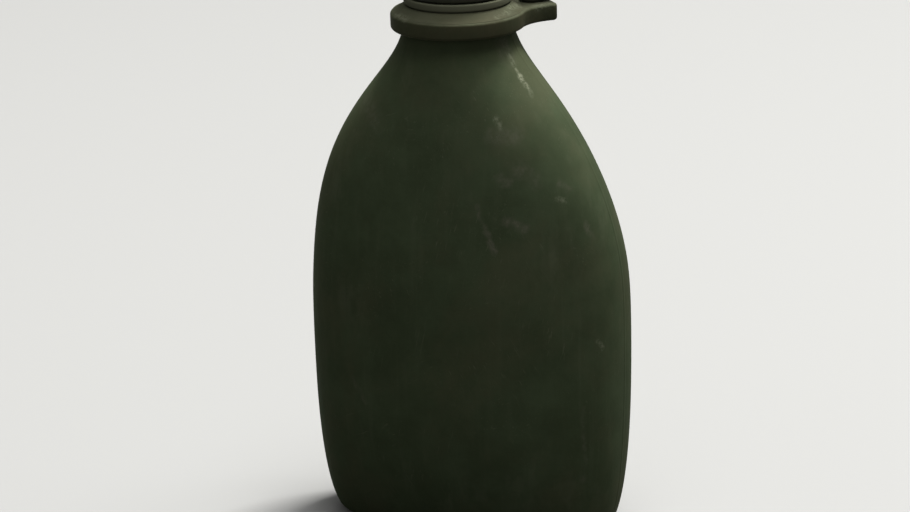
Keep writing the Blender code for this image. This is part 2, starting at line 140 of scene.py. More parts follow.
# Strap stud and crown rivet
SHANK_RADIUS = 0.0020
STUD_HEAD_RADIUS = 0.0039
STUD_HEAD_HEIGHT = 0.0014
STUD_TAIL_RADIUS = 0.0035
STUD_TAIL_HEIGHT = 0.0012
STUD_TAIL_INSET = 0.0004
RIVET_HEAD_RADIUS = 0.0050
RIVET_HEAD_HEIGHT = 0.0016
RIVET_TAIL_RADIUS = 0.0040
RIVET_TAIL_HEIGHT = 0.0010
HEAD_EDGE = 0.0003
HOLE_RADIUS = SHANK_RADIUS + HOLE_PLAY

# ---- sizes of the skins alone

RIM_EDGE = 0.0007
RING_ROUND = 0.0012
STUD_POCKET_TOP = 0.1935
STRAP_ROUND = 0.0006
STRAP_SINK = 0.28
SEAM_RISE = 0.00011
SEAM_HALF_WIDTH = 0.0007

# Threads on the neck and in the cap; their pitch is what the cap's coupling gives in one turn
THREAD_PITCH = 0.000954 * math.tau
THREAD_CREST = 0.0010
THREAD_TALL = 0.0011
THREAD_STEP = 0.00022
NECK_THREAD_START = 0.2060
NECK_THREAD_TURNS = 1.5
NECK_THREAD_BASE = 0.0023
CAP_THREAD_START = NECK_THREAD_START + 0.5 * THREAD_PITCH
CAP_THREAD_TURNS = 1.2
CAP_THREAD_BASE = 0.0022

# Facets; those round the bottle are closer together at the mould's seam on each side
SEAM_STEPS = (0.06, 0.15, 0.28, 0.45, 0.9)
SEAM_ANGLES = [math.radians(turn * step) + side
               for side in (0, math.pi) for turn in (-1, 1) for step in SEAM_STEPS]
EVEN_ANGLES = np.linspace(0, math.tau, 192, endpoint=False)
ANGLES = np.sort(np.mod(np.concatenate([EVEN_ANGLES, SEAM_ANGLES]), math.tau))
AROUND = len(ANGLES)
SMALL_AROUND = 48
PIN_AROUND = 64
CAP_AROUND = RIB_COUNT * 8


# ---- shape helpers


def smooth_step(t):
    t = np.clip(t, 0.0, 1.0)
    return t * t * (3 - 2 * t)


def cubic(p0, p1, p2, p3, steps):
    """Points along a cubic curve in a plane."""
    t = np.linspace(0, 1, steps + 1)[:, None]
    p0, p1, p2, p3 = (np.array(p, float) for p in (p0, p1, p2, p3))
    return (1 - t) ** 3 * p0 + 3 * (1 - t) ** 2 * t * p1 + 3 * (1 - t) * t * t * p2 + t**3 * p3


def arc(cx, cy, radius, start, stop, steps):
    a = np.linspace(start, stop, steps + 1)
    return [(cx + radius * math.cos(t), cy + radius * math.sin(t)) for t in a]


def mesh_object(name, mesh):
    obj = bpy.data.objects.new(name, mesh)
    bpy.context.scene.collection.objects.link(obj)
    return obj


def grid_object(name, rows, looped=False):
    """A closed skin through rows of points that each go once round: either the last row joins the
    first, or a fan closes each end."""
    rows = np.asarray(rows, float)
    count, around = rows.shape[:2]
    verts = rows.reshape(-1, 3).tolist()
    faces = []
    for r in range(count if looped else count - 1):
        a = r * around
        b = ((r + 1) % count) * around
        for i in range(around):
            j = (i + 1) % around
            faces.append((a + i, a + j, b + j, b + i))
    if not looped:
        first, last = len(verts), len(verts) + 1
        verts += [rows[0].mean(0).tolist(), rows[-1].mean(0).tolist()]
        a = (count - 1) * around
        faces += [(first, (i + 1) % around, i) for i in range(around)]
        faces += [(last, a + i, a + (i + 1) % around) for i in range(around)]
    mesh = bpy.data.meshes.new(name)
    mesh.from_pydata(verts, [], faces)
    return mesh_object(name, mesh)


def revolved(profile, around, centre=(0, 0), radius_of=None):
    """Rows of a turned shape from (radius, height) points, shaped by radius_of if given."""
    angles = np.linspace(0, math.tau, around, endpoint=False)
    rows = []
    for k, (radius, height) in enumerate(profile):
        r = np.full(around, radius)
        if radius_of is not None:
            r = radius_of(k, r, angles, height)
        x = centre[0] + r * np.cos(angles)
        y = centre[1] + r * np.sin(angles)
        rows.append(np.stack([x, y, np.full(around, height)], 1))
    return rows


def outward(obj):
    """Turns every face outward."""
    work = bmesh.new()
    work.from_mesh(obj.data)
    bmesh.ops.recalc_face_normals(work, faces=work.faces)
    work.to_mesh(obj.data)
    work.free()


def smooth(obj, angle):
    """Smooth shading, with a sharp edge where faces meet at more than an angle in degrees."""
    obj.data.shade_smooth()
    obj.data.set_sharp_from_angle(angle=math.radians(angle))


def cut(obj, cutter):
    """Cuts one closed skin out of another, and merges the doubled points that the cut leaves."""
    step = obj.modifiers.new("cut", "BOOLEAN")
    step.operation = "DIFFERENCE"
    step.object = cutter
    step.solver = "EXACT"
    evaluated = obj.evaluated_get(bpy.context.evaluated_depsgraph_get())
    mesh = bpy.data.meshes.new_from_object(evaluated)
    work = bmesh.new()
    work.from_mesh(mesh)
    bmesh.ops.remove_doubles(work, verts=work.verts, dist=2e-6)
    work.to_mesh(mesh)
    work.free()
    obj.modifiers.clear()
    obj.data = mesh
    bpy.data.objects.remove(cutter, do_unlink=True)


def helix_ridge(angles, height, start, turns, base):
    """How far a thread's trapezoid ridge stands up at one height, for each angle; it tapers off at
    both ends."""
    total = np.zeros(len(angles))
    for k in range(-1, int(turns) + 2):
        turn = angles / math.tau + k
        distance = np.abs(height - start - turn * THREAD_PITCH)
        ridge = THREAD_TALL * np.clip((base / 2 - distance) / ((base - THREAD_CREST) / 2), 0, 1)
        ends = smooth_step(turn / 0.08) * smooth_step((turns - turn) / 0.08)
        total = np.maximum(total, ridge * ends)
    return total


# ---- the bottle's skin


def outline_tables():
    """The body's half width and its front's depth, as (distance, height) points from the foot up."""
    side = np.vstack([
        cubic((FOOT_HALF_WIDTH, 0), (FOOT_HALF_WIDTH + FOOT_CORNER_WIDTH, 0),
              (BODY_HALF_WIDTH, FOOT_CORNER_HEIGHT), (BODY_HALF_WIDTH, WIDEST_HEIGHT), 40),
        cubic((BODY_HALF_WIDTH, WIDEST_HEIGHT), (BODY_HALF_WIDTH, WIDEST_HEIGHT + SHOULDER_ROUND),
              (SHOULDER_RADIUS + SHOULDER_FLARE, SEAT_HEIGHT - SHOULDER_RISE),
              (SHOULDER_RADIUS, SEAT_HEIGHT), 64)[1:],
    ])
    front = np.vstack([
        cubic((FOOT_FRONT_DEPTH, 0), (FOOT_FRONT_DEPTH + FOOT_EDGE_DEPTH, 0),
              (FRONT_DEPTH, FOOT_EDGE_HEIGHT), (FRONT_DEPTH, FRONT_FULL_HEIGHT), 60),
        cubic((FRONT_DEPTH, FRONT_TURN_HEIGHT), (FRONT_DEPTH, FRONT_TURN_HEIGHT + FRONT_ROUND),
              (SHOULDER_RADIUS + FRONT_FLARE, SEAT_HEIGHT - FRONT_RISE),
              (SHOULDER_RADIUS, SEAT_HEIGHT), 60),
    ])
    return side, front


def kidney(half_width, front, height):
    """The points round the bottle at one height: round at the neck, a bent oval lower down."""
    share = (BACK_DEPTH - SHOULDER_RADIUS) / (FRONT_DEPTH - SHOULDER_RADIUS)
    back = SHOULDER_RADIUS + (front - SHOULDER_RADIUS) * share
    squareness = float(smooth_step((SEAT_HEIGHT - height) / SQUARE_FALL))
    power = 2 / (2 + (SECTION_POWER - 2) * squareness)
    bent = float(smooth_step((SEAT_HEIGHT - BEND_START_DROP - height) / BEND_FALL))
    across, along = np.cos(ANGLES), np.sin(ANGLES)
    x = half_width * np.sign(across) * np.abs(across) ** power
    depth = np.where(along > 0, back, front)
    y = depth * np.sign(along) * np.abs(along) ** power
    y = y + BEND * bent * (x / BODY_HALF_WIDTH) ** 2
    hollow = BACK_HOLLOW * bent * np.clip(1 - (x / HOLLOW_HALF_WIDTH) ** 2, 0, None) ** 2
    y = np.where(along > 0, y - hollow, y)
    return np.stack([x, y, np.full(AROUND, height)], 1)


def circle(radius, height):
    """The points round the neck at one height, where the radius may differ from angle to angle."""
    r = np.broadcast_to(radius, (AROUND,))
    return np.stack([r * np.cos(ANGLES), r * np.sin(ANGLES), np.full(AROUND, height)], 1)


def add_seam(row):
    """Raises the mould's parting line on both narrow sides of a row, fading out under the foot."""
    x = row[:, 0]
    outward_share = np.sign(x) * np.clip((np.abs(x) - 0.015) / 0.004, 0, 1)
    close = smooth_step(1.2 - np.abs(row[:, 1] - row[0, 1]) / SEAM_HALF_WIDTH)
    row[:, 0] += SEAM_RISE * close * outward_share


def body_rows():
    """Rows from the foot's recess out over its slope and up the outside to the ring's seat."""
    recess_half = FOOT_HALF_WIDTH - FOOT_LAND - FOOT_SLOPE
    recess_front = FOOT_FRONT_DEPTH - FOOT_LAND - FOOT_SLOPE
    middle = kidney(recess_half * 0.5, recess_front * 0.5, FOOT_RECESS)
    middle[:, 1] -= 0.001
    rows = [middle, kidney(recess_half, recess_front, FOOT_RECESS)]
    for s in (0.35, 0.7, 1.0):
        slope = kidney(recess_half + FOOT_SLOPE * s, recess_front + FOOT_SLOPE * s, 0)
        slope[:, 2] = FOOT_RECESS * (1 - float(smooth_step(s)))
        rows.append(slope)
    side, front = outline_tables()
    for half_width, height in side:
        depth = float(np.interp(height, front[:, 1], front[:, 0]))
        rows.append(kidney(half_width, depth, height))
    for row in rows:
        add_seam(row)
    return rows


def neck_rows():
    """Rows up the outside of the neck with its groove, bead and thread, over the rim and down the bore."""
    corner = np.linspace(0, math.pi / 2, 6)
    rows = [circle(SHOULDER_RADIUS - 0.0006, SEAT_HEIGHT), circle(GROOVE_RADIUS + 0.0004, SEAT_HEIGHT),
            circle(GROOVE_RADIUS, SEAT_HEIGHT + 0.0005), circle(GROOVE_RADIUS, BEAD_BOTTOM)]
    flat = BEAD_RADIUS - BEAD_EDGE
    low, high = BEAD_BOTTOM + BEAD_EDGE, BEAD_TOP - BEAD_EDGE
    rows += [circle(flat + BEAD_EDGE * math.sin(a), low - BEAD_EDGE * math.cos(a)) for a in corner]
    rows += [circle(flat + BEAD_EDGE * math.cos(a), high + BEAD_EDGE * math.sin(a)) for a in corner]
    rows += [circle(FINISH_RADIUS + 0.0006, BEAD_TOP), circle(FINISH_RADIUS + 0.0001, BEAD_TOP + 0.0005)]
    for height in np.arange(BEAD_TOP + 0.0009, RIM_HEIGHT - RIM_EDGE, THREAD_STEP):
        up = helix_ridge(ANGLES, height, NECK_THREAD_START, NECK_THREAD_TURNS, NECK_THREAD_BASE)
        rows.append(circle(FINISH_RADIUS + up, height))
    bore = FINISH_RADIUS - WALL
    outer, inner, rim = FINISH_RADIUS - RIM_EDGE, bore + RIM_EDGE, RIM_HEIGHT - RIM_EDGE
    rows += [circle(outer + RIM_EDGE * math.cos(a), rim + RIM_EDGE * math.sin(a)) for a in corner]
    rows += [circle(inner - RIM_EDGE * math.sin(a), rim + RIM_EDGE * math.cos(a)) for a in corner]
    rows += [circle(bore, height) for height in (0.212, 0.206, 0.200, 0.195, 0.1915)]
    return rows + [circle(bore + 0.0004, 0.1902), circle(bore + 0.0018, 0.1893)]


def inside_rows(outside):
    """Rows of the inside, a wall's thickness in from every third row, from the shoulder to the floor."""
    grid = np.array(outside)
    down = np.roll(grid, -1, 0) - np.roll(grid, 1, 0)
    down[0] = grid[1] - grid[0]
    down[-1] = grid[-1] - grid[-2]
    normal = np.cross(np.roll(grid, -1, 1) - np.roll(grid, 1, 1), down)
    normal /= np.linalg.norm(normal, axis=2, keepdims=True) + 1e-12
    inner = grid - WALL * normal
    first = 5
    kept = [k for k in range(first, len(outside)) if grid[k, 0, 2] < 0.186][::3]
    floor_edge = kidney(0.044, 0.0110, 0.0036)
    floor_middle = kidney(0.020, 0.0055, 0.0037)
    floor_middle[:, 1] -= 0.001
    return [inner[k] for k in reversed(kept)] + [floor_edge, floor_middle]


outside = body_rows()
bottle = grid_object("bottle_skin", outside + neck_rows() + inside_rows(outside))
outward(bottle)
smooth(bottle, 40)


# ---- ring, stud and rivet


def ring_outline():
    """The ring's round edge with a hollow fillet into each side of the lug, closely stepped."""
    cx, cy = LUG_REACH - LUG_CORNER, LUG_HALF_WIDTH - LUG_CORNER
    fy = LUG_HALF_WIDTH + LUG_FILLET
    fx = math.sqrt((RING_RADIUS + LUG_FILLET) ** 2 - fy**2)
    tangent = math.atan2(fy, fx)
    quarter = math.pi / 2
    points = arc(0, 0, RING_RADIUS, tangent, math.tau - tangent, 150)
    points += arc(fx, -fy, LUG_FILLET, math.pi - tangent, quarter, 16)[1:]
    points += arc(cx, -cy, LUG_CORNER, -quarter, 0, 10)
    points += [(LUG_REACH, cy * f) for f in (-0.5, 0, 0.5)]
    points += arc(cx, cy, LUG_CORNER, 0, quarter, 10)
    points += arc(fx, fy, LUG_FILLET, -quarter, tangent - math.pi, 16)[:-1]
    return np.array(points)


def ring_rows():
    """Loops round the ring: up its bore, over the sloping collar, out to the lug's edge and back below."""
    outline = ring_outline()
    ahead = np.roll(outline, -1, 0) - np.roll(outline, 1, 0)
    out = np.stack([ahead[:, 1], -ahead[:, 0]], 1)
    out /= np.linalg.norm(out, axis=1, keepdims=True)
    ray = outline / np.linalg.norm(outline, axis=1, keepdims=True)
    rows = []

    def loop(points, height):
        rows.append(np.column_stack([points, np.full(len(points), height)]))

    bore = GROOVE_RADIUS + CLEARANCE
    shoulder = COLLAR_TOP - COLLAR_EDGE
    loop(ray * (bore + 0.0004), RING_BOTTOM)
    loop(ray * bore, RING_BOTTOM + 0.0004)
    loop(ray * bore, shoulder)
    for a in np.linspace(0, math.pi / 2, 4)[1:]:
        loop(ray * (bore + COLLAR_EDGE - COLLAR_EDGE * math.cos(a)), shoulder + COLLAR_EDGE * math.sin(a))
    for inset, drop in ((0.0004, 0.0), (0.00025, 0.00004), (0.0001, 0.00014), (-0.00005, 0.00026)):
        loop(ray * (COLLAR_RADIUS - inset), COLLAR_TOP - drop)
    fall = (shoulder - RING_TOP) / (COLLAR_FOOT_RADIUS - COLLAR_RADIUS)
    for r in (0.0199, 0.0205, 0.0211, 0.0217, 0.0223, 0.0229):
        loop(ray * r, shoulder - (r - COLLAR_RADIUS) * fall)
    for inset, lift in ((0.0005, 0.00036), (0.0002, 0.00020), (-0.0001, 0.00008), (-0.0004, 0.00002)):
        loop(ray * (COLLAR_FOOT_RADIUS - inset), RING_TOP + lift)
    top, bottom = RING_TOP - RING_ROUND, RING_BOTTOM + RING_ROUND
    for a in np.linspace(0, math.pi / 2, 8):
        loop(outline - out * (RING_ROUND - RING_ROUND * math.sin(a)), top + RING_ROUND * math.cos(a))
    loop(outline, (RING_TOP + RING_BOTTOM) / 2)
    for a in np.linspace(0, math.pi / 2, 8):
        loop(outline - out * (RING_ROUND - RING_ROUND * math.cos(a)), bottom - RING_ROUND * math.sin(a))
    loop(ray * 0.0215, RING_BOTTOM)
    return rows


neck_ring = grid_object("neck_ring_skin", ring_rows(), looped=True)
neck_ring.data.transform(Matrix.Rotation(LUG_ANGLE, 4, "Z"))
outward(neck_ring)
stud_spot = Vector((math.cos(LUG_ANGLE), math.sin(LUG_ANGLE), 0)) * LUG_HOLE_OFFSET
pocket_radius = STUD_TAIL_RADIUS + HOLE_PLAY
drill_profile = [(pocket_radius, RING_BOTTOM - 0.0011), (pocket_radius, STUD_POCKET_TOP),
                 (HOLE_RADIUS, STUD_POCKET_TOP), (HOLE_RADIUS, RING_TOP + 0.0015)]
drill = grid_object("drill", revolved(drill_profile, SMALL_AROUND, stud_spot))
outward(drill)
cut(neck_ring, drill)
smooth(neck_ring, 30)


def pin(name, centre, head, seat, tail, end):
    """A pin with a domed head on its seat and a flat tail; head and tail are (radius, height)."""
    head_radius, head_height = head
    tail_radius, tail_height = tail
    dome = head_height - HEAD_EDGE
    profile = [(max(1e-5, head_radius * math.sin(a)), seat + HEAD_EDGE + dome * math.cos(a))
               for a in np.linspace(0, math.pi / 2, 9)]
    profile += [(head_radius - 0.0001, seat + 0.0001), (head_radius - 0.0004, seat), (SHANK_RADIUS, seat),
                (SHANK_RADIUS, end + tail_height), (tail_radius - HEAD_EDGE, end + tail_height),
                (tail_radius, end + tail_height - HEAD_EDGE), (tail_radius, end + HEAD_EDGE),
                (tail_radius - HEAD_EDGE, end)]
    made = grid_object(name, revolved(profile, PIN_AROUND, centre))
    outward(made)
    smooth(made, 35)
    return made


head_seat = STRAP_THICKNESS / 2 + CLEARANCE
stud = pin("strap_stud_skin", stud_spot, (STUD_HEAD_RADIUS, STUD_HEAD_HEIGHT), STRAP_LOW + head_seat,
           (STUD_TAIL_RADIUS, STUD_TAIL_HEIGHT), RING_BOTTOM + STUD_TAIL_INSET)
rivet = pin("crown_rivet_skin", (0, 0), (RIVET_HEAD_RADIUS, RIVET_HEAD_HEIGHT), STRAP_HIGH + head_seat,
            (RIVET_TAIL_RADIUS, RIVET_TAIL_HEIGHT), CROWN_UNDERSIDE + CLEARANCE)


# ---- cap


def cap_rows():
    """Rows from the hem up over the ribs and the crown, and down inside over the thread."""
    crest = CAP_RADIUS - HEM_LIP
    root = crest - RIB_DEPTH
    profile = []
    ribbed = []

    def add(radius, height, rib=0.0):
        profile.append((radius, height))
        ribbed.append(rib)

    for a in np.linspace(-math.pi / 2, 0, 5):
        add(CAP_RADIUS - 0.0004 + 0.0004 * math.cos(a), SKIRT_BOTTOM + 0.0004 + 0.0004 * math.sin(a))
    add(CAP_RADIUS, SKIRT_BOTTOM + 0.0019)
    add(CAP_RADIUS - 0.0001, SKIRT_BOTTOM + 0.0021)
    add(root, SKIRT_BOTTOM + 0.0026)
    add(root, SKIRT_BOTTOM + 0.0030, 0.7)
    add(root, SKIRT_BOTTOM + 0.0034, 1.0)
    for height in np.linspace(SKIRT_BOTTOM + 0.006, CROWN_TOP - 0.0036, 4):
        add(root, height, 1.0)
    add(root, CROWN_TOP - 0.0030, 0.7)
    add(root, CROWN_TOP - 0.0026)
    for a in np.linspace(0, math.pi / 2, 10):
        add(root - CAP_EDGE + CAP_EDGE * math.cos(a), CROWN_TOP - CAP_EDGE + CAP_EDGE * math.sin(a))
    groove = ((0.0146, 0.0), (0.0143, 0.00025), (0.0138, 0.00025), (0.0135, 0.0))
    for radius, depth in groove + ((0.0100, 0.0), (0.0060, 0.0), (HOLE_RADIUS, 0.0)):
        add(radius, CROWN_TOP - depth)
    pocket_radius = RIVET_TAIL_RADIUS + HOLE_PLAY
    pocket_top = CROWN_UNDERSIDE + RIVET_TAIL_HEIGHT + 2 * CLEARANCE
    add(HOLE_RADIUS, pocket_top)
    add(pocket_radius, pocket_top)
    add(pocket_radius, CROWN_UNDERSIDE)
    add(0.0120, CROWN_UNDERSIDE)
    add(CAP_BORE - 0.0006, CROWN_UNDERSIDE)
    add(CAP_BORE, CROWN_UNDERSIDE - 0.0006)
    thread_start = len(profile)
    for height in np.arange(CROWN_UNDERSIDE - 0.0010, SKIRT_BOTTOM + 0.0006, -THREAD_STEP):
        add(CAP_BORE, height)
    thread_stop = len(profile)
    add(CAP_BORE + 0.0003, SKIRT_BOTTOM + 0.0002)

    def shaped(k, r, angles, height):
        if ribbed[k]:
            wave = 0.5 + 0.5 * np.cos(angles * RIB_COUNT)
            return r + ribbed[k] * RIB_DEPTH * smooth_step(wave * 1.5 - 0.25)
        if thread_start <= k < thread_stop:
            return r - helix_ridge(angles, height, CAP_THREAD_START, CAP_THREAD_TURNS, CAP_THREAD_BASE)
        return r

    return revolved(profile, CAP_AROUND, radius_of=shaped)


cap = grid_object("cap_shell_skin", cap_rows(), looped=True)
outward(cap)
smooth(cap, 40)


# ---- strap


def strap_route():
    """The strap's middle line as (reach, height) points, from the lug's stud over to the rivet."""
    start = LUG_HOLE_OFFSET - STRAP_HALF_WIDTH
    turn = LUG_HOLE_OFFSET + STRAP_FLAT
    bow_height = STRAP_LOW + STRAP_BOW_RISE
    return np.vstack([
        np.array([(start, STRAP_LOW)]),
        np.linspace((start, STRAP_LOW), (turn, STRAP_LOW), 12)[1:],
        cubic((turn, STRAP_LOW), (turn + STRAP_TURN, STRAP_LOW),
              (STRAP_BOW, bow_height - STRAP_BOW_HANDLE), (STRAP_BOW, bow_height), 40)[1:],
        cubic((STRAP_BOW, bow_height), (STRAP_BOW, bow_height + STRAP_BOW_HANDLE),
              (STRAP_CROWN_FLAT + STRAP_CROWN_HANDLE, STRAP_HIGH), (STRAP_CROWN_FLAT, STRAP_HIGH), 60)[1:],
        np.linspace((STRAP_CROWN_FLAT, STRAP_HIGH), (-STRAP_EYE_RADIUS, STRAP_HIGH), 50)[1:],
    ])


def strap_width(s, length):
    """Half the strap's width at a distance along it: round at the stud, and a round eye at the rivet."""
    width = STRAP_HALF_WIDTH
    if s < STRAP_HALF_WIDTH:
        width = math.sqrt(max(0.0, STRAP_HALF_WIDTH**2 - (s - STRAP_HALF_WIDTH) ** 2))
    from_eye = s - (length - STRAP_EYE_RADIUS)
    if abs(from_eye) < STRAP_EYE_RADIUS:
        eye = math.sqrt(STRAP_EYE_RADIUS**2 - from_eye**2)
        width = eye
        if from_eye < 0:
            blend = float(smooth_step((from_eye + STRAP_EYE_RADIUS) / 0.004))
            width = max(STRAP_HALF_WIDTH, STRAP_HALF_WIDTH + (eye - STRAP_HALF_WIDTH) * blend)
    return width


def strap_stations(length, mouth):
    """Distances along the strap, closely stepped at both ends and where the eye begins."""
    half, eye = STRAP_HALF_WIDTH, STRAP_EYE_RADIUS
    low = [half * (1 - math.cos(t)) for t in np.linspace(0.12, math.pi / 2, 10)]
    high = [length - eye * (1 - math.cos(t)) for t in np.linspace(0.09, math.pi / 2, 16)]
    middle = np.linspace(half, mouth - 0.0012, 80)[1:].tolist()
    neck = np.linspace(mouth - 0.0012, length - eye, 14)[1:].tolist()
    return low + middle + neck + high[::-1][1:]


def strap_rows():
    """Rows across the strap, over its top and back below, with round edges and a sunk middle."""
    route = strap_route()
    steps = np.linalg.norm(np.diff(route, axis=0), axis=1)
    travel = np.concatenate([[0], np.cumsum(steps)])
    length = travel[-1]
    mouth = length - STRAP_EYE_RADIUS - math.sqrt(STRAP_EYE_RADIUS**2 - STRAP_HALF_WIDTH**2)
    half_across = np.array([0.2, 0.4, 0.58, 0.66, 0.8, 0.9, 0.97, 1])
    across = np.concatenate([-half_across[::-1], [0], half_across])

    def point(s):
        s = np.clip(s, 0, length)
        return np.array([np.interp(s, travel, route[:, 0]), np.interp(s, travel, route[:, 1])])

    rows = []
    for s in strap_stations(length, mouth):
        x, z = point(s)
        tangent = point(s + 0.0006) - point(s - 0.0006)
        tangent /= np.linalg.norm(tangent)
        normal = np.array([-tangent[1], tangent[0]])
        width = strap_width(s, length)
        past = np.clip((np.abs(across) * width - (width - STRAP_ROUND)) / STRAP_ROUND, 0, 1)
        rim = np.sqrt(np.clip(1 - past**2, 0, 1))
        near_end = min(s, length - s)
        tip = math.sqrt(max(0.02, 1 - max(0.0, 1 - near_end / STRAP_ROUND) ** 2))
        plain = min(1.0, max(0.0, (s - 0.0095) / 0.002), max(0.0, (mouth - 0.002 - s) / 0.002))
        sunk = 1 - STRAP_SINK * plain * smooth_step((0.66 - np.abs(across)) / 0.08)
        thick = np.maximum(STRAP_THICKNESS / 2 * rim * tip * sunk, 0.00004)
        top = [(x + normal[0] * t, a * width, z + normal[1] * t) for a, t in zip(across, thick)]
        below = [(x - normal[0] * t, a * width, z - normal[1] * t) for a, t in zip(across[::-1], thick[::-1])]
        rows.append(top + below)
    return rows


strap = grid_object("tether_strap_skin", strap_rows())
outward(strap)
for reach, height, name in ((LUG_HOLE_OFFSET, STRAP_LOW, "punch_low"), (0.0, STRAP_HIGH, "punch_high")):
    punch_profile = [(HOLE_RADIUS, height - 0.002), (HOLE_RADIUS, height + 0.002)]
    punch = grid_object(name, revolved(punch_profile, SMALL_AROUND, (reach, 0)))
    outward(punch)
    cut(strap, punch)
strap.data.transform(Matrix.Rotation(LUG_ANGLE, 4, "Z"))
outward(strap)
smooth(strap, 40)


# ---- materials


class Nodes:
    """Short forms for making shader nodes."""

    def __init__(self, name):
        self.material = bpy.data.materials.new(name)
        self.material.use_nodes = True
        self.tree = self.material.node_tree
        self.shader = self.tree.nodes["Principled BSDF"]
        self.place = self.add("ShaderNodeTexCoord").outputs["Object"]

    def add(self, kind, **settings):
        node = self.tree.nodes.new(kind)
        for key, value in settings.items():
            setattr(node, key, value)
        return node

    def put(self, socket, value):
        if isinstance(value, bpy.types.NodeSocket):
            self.tree.links.new(value, socket)
        else:
            socket.default_value = value

    def mapped(self, scale, turn=(0, 0, 0)):
        """The place turned back by some angles and scaled, so that streaks lie along the turned Z axis."""
        node = self.add("ShaderNodeMapping", vector_type="TEXTURE")
        self.put(node.inputs["Vector"], self.place)
        node.inputs["Scale"].default_value = [1 / s for s in scale]
        node.inputs["Rotation"].default_value = turn
        return node.outputs["Vector"]

    def shaken(self, scale, reach):
        """The place shaken by noise, so that a line across it wanders."""
        node = self.add("ShaderNodeTexNoise")
        self.put(node.inputs["Vector"], self.place)
        node.inputs["Scale"].default_value = scale
        node.inputs["Detail"].default_value = 2.0
        shift = self.add("ShaderNodeVectorMath", operation="MULTIPLY_ADD")
        self.put(shift.inputs[0], node.outputs["Color"])
        shift.inputs[1].default_value = (2 * reach, 2 * reach, 2 * reach)
        shift.inputs[2].default_value = (-reach, -reach, -reach)
        total = self.add("ShaderNodeVectorMath", operation="ADD")
        self.put(total.inputs[0], self.place)
        self.put(total.inputs[1], shift.outputs[0])
        return total.outputs[0]

    def noise(self, scale, detail, rough, vector=None):
        node = self.add("ShaderNodeTexNoise")
        self.put(node.inputs["Vector"], self.place if vector is None else vector)
        node.inputs["Scale"].default_value = scale
        node.inputs["Detail"].default_value = detail
        node.inputs["Roughness"].default_value = rough
        return node.outputs["Fac"]

    def math(self, operation, a, b, clamp=False):
        node = self.add("ShaderNodeMath", operation=operation, use_clamp=clamp)
        self.put(node.inputs[0], a)
        self.put(node.inputs[1], b)
        return node.outputs[0]

    def times(self, a, b):
        return self.math("MULTIPLY", a, b)

    def highest(self, first, *others):
        for other in others:
            first = self.math("MAXIMUM", first, other)
        return first

    def ramp(self, value, low, high, out_low=0.0, out_high=1.0):
        node = self.add("ShaderNodeMapRange", interpolation_type="SMOOTHSTEP")
        self.put(node.inputs["Value"], value)
        for key, number in (("From Min", low), ("From Max", high), ("To Min", out_low), ("To Max", out_high)):
            node.inputs[key].default_value = number
        return node.outputs["Result"]

    def mix(self, share, a, b):
        node = self.add("ShaderNodeMix", data_type="RGBA")
        sockets = [s for s in node.inputs if s.type == "RGBA"]
        self.put(node.inputs[0], share)
        for socket, value in zip(sockets, (a, b)):
            self.put(socket, (*value, 1) if isinstance(value, tuple) else value)
        return next(s for s in node.outputs if s.type == "RGBA")

    def bump(self, height, strength, distance, normal=None):
        node = self.add("ShaderNodeBump")
        node.inputs["Strength"].default_value = strength
        node.inputs["Distance"].default_value = distance
        self.put(node.inputs["Height"], height)
        if normal is not None:
            self.put(node.inputs["Normal"], normal)
        return node.outputs["Normal"]

    def upward(self, low, high):
        """Where the surface faces up: 0 below low and 1 above high."""
        geometry = self.add("ShaderNodeNewGeometry")
        split = self.add("ShaderNodeSeparateXYZ")
        self.put(split.inputs[0], geometry.outputs["Normal"])
        return self.ramp(split.outputs["Z"], low, high)

    def height(self):
        split = self.add("ShaderNodeSeparateXYZ")
        self.put(split.inputs[0], self.place)
        return split.outputs["Z"]

    def stroke(self, place, start, end, width):
        """A mask of 1 along a mark between two points, a scuff or a painted highlight or shade, fading to 0
        at a width from it.
        """
        ab = Vector(end) - Vector(start)
        away = self.add("ShaderNodeVectorMath", operation="SUBTRACT")
        self.put(away.inputs[0], place)
        away.inputs[1].default_value = start
        dot = self.add("ShaderNodeVectorMath", operation="DOT_PRODUCT")
        self.put(dot.inputs[0], away.outputs[0])
        dot.inputs[1].default_value = ab / ab.length_squared
        share = self.math("MAXIMUM", self.math("MINIMUM", dot.outputs["Value"], 1.0), 0.0)
        along = self.add("ShaderNodeVectorMath", operation="SCALE")
        along.inputs[0].default_value = ab
        self.put(along.inputs["Scale"], share)
        gap = self.add("ShaderNodeVectorMath", operation="DISTANCE")
        self.put(gap.inputs[0], away.outputs[0])
        self.put(gap.inputs[1], along.outputs[0])
        return self.ramp(gap.outputs["Value"], width, 0.0)


# Colours, linear
OLIVE_DARK = (0.0525, 0.069, 0.036)
OLIVE_LIGHT = (0.070, 0.093, 0.050)
# Worn olive for rubs, scratches and dust, and for the ring's rim band, which is partly a painted highlight
OLIVE_WORN_AND_HIGHLIGHT = (0.121, 0.135, 0.084)
RING_DARK = (0.047, 0.053, 0.029)
RING_LIGHT = (0.063, 0.070, 0.039)
KHAKI_DUST = (0.102, 0.103, 0.071)
# Paler tone for the band on the neck's bead
BEAD_PALE = (0.155, 0.155, 0.108)
# Pale scrapes, and painted highlights: a glint along a scratch on the right shoulder and bright spots on the
# ring's collar and lug
SCRAPE_AND_HIGHLIGHT = (0.300, 0.315, 0.220)
# Rubbed wear, and the painted light patch on the neck under the ring
RUB_AND_PAINTED_LIGHT = (0.130, 0.130, 0.092)
# Painted shade for the lug's side face
PAINTED_SHADE = (0.026, 0.031, 0.018)
